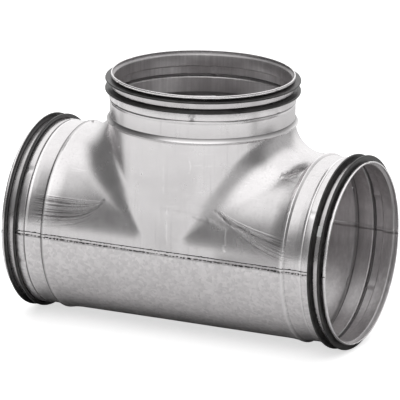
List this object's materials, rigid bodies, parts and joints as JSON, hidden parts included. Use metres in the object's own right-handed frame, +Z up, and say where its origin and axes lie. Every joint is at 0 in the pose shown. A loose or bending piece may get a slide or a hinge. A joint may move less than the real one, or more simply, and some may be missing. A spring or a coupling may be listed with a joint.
{
  "type": "duct tee",
  "caption": "Pressed galvanised duct tee that joins a branch duct to a straight run, with beaded male spigots and strapped lip gaskets.",
  "frame": {"origin": "where the run's axis and the branch's axis cross", "axes": "+X along the run, +Z up along the branch, +Y across both"},
  "size_m": [0.302, 0.1666, 0.2223],
  "materials": {
    "pressed_steel": "bright galvanised sheet, drawn smooth",
    "rolled_steel": "spangled galvanised sheet",
    "strap_steel": "galvanised strip",
    "gasket_rubber": "matt black rubber"
  },
  "bodies": {
    "root": {"upper_shell": "pressed_steel", "lower_shell": "rolled_steel", "gasket_left": "gasket_rubber", "gasket_right": "gasket_rubber", "gasket_branch": "gasket_rubber", "strap_left": "strap_steel", "strap_right": "strap_steel", "strap_branch": "strap_steel"}
  },
  "joints": []
}
